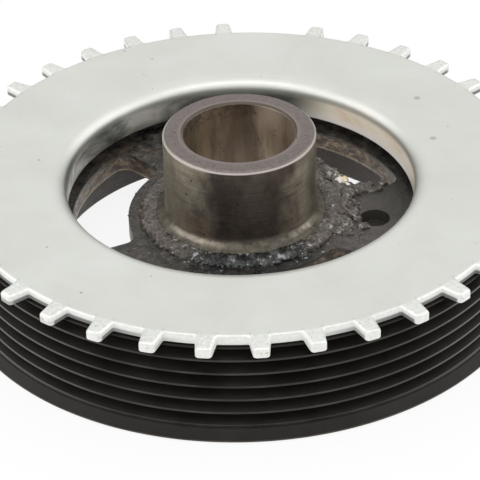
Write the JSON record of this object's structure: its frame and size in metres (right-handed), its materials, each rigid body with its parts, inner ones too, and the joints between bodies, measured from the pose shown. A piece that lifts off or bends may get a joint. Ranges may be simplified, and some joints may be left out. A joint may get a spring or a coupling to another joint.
{
  "type": "harmonic balancer",
  "caption": "Crankshaft balancer with a ribbed-belt ring on an elastomer ring, a toothed trigger wheel, a windowed hub disc and a welded centre sleeve.",
  "frame": {"origin": "on the shaft axis, in the plane of the front face, which the part rests on", "axes": "+Z along the shaft axis, towards the engine side; angles are measured from -Y towards +X"},
  "size_m": [0.1446, 0.1446, 0.0378],
  "materials": {
    "plated_steel": "satin",
    "black_iron": "satin",
    "elastomer": "matte",
    "black_steel": "satin",
    "machined_steel": "satin",
    "weld_metal": "gloss"
  },
  "bodies": {
    "root": {"toothed_wheel": "plated_steel", "belt_ring": "black_iron", "elastomer_ring": "elastomer", "hub_disc": "black_steel", "hub_sleeve": "machined_steel", "weld_bead": "weld_metal"}
  },
  "joints": []
}
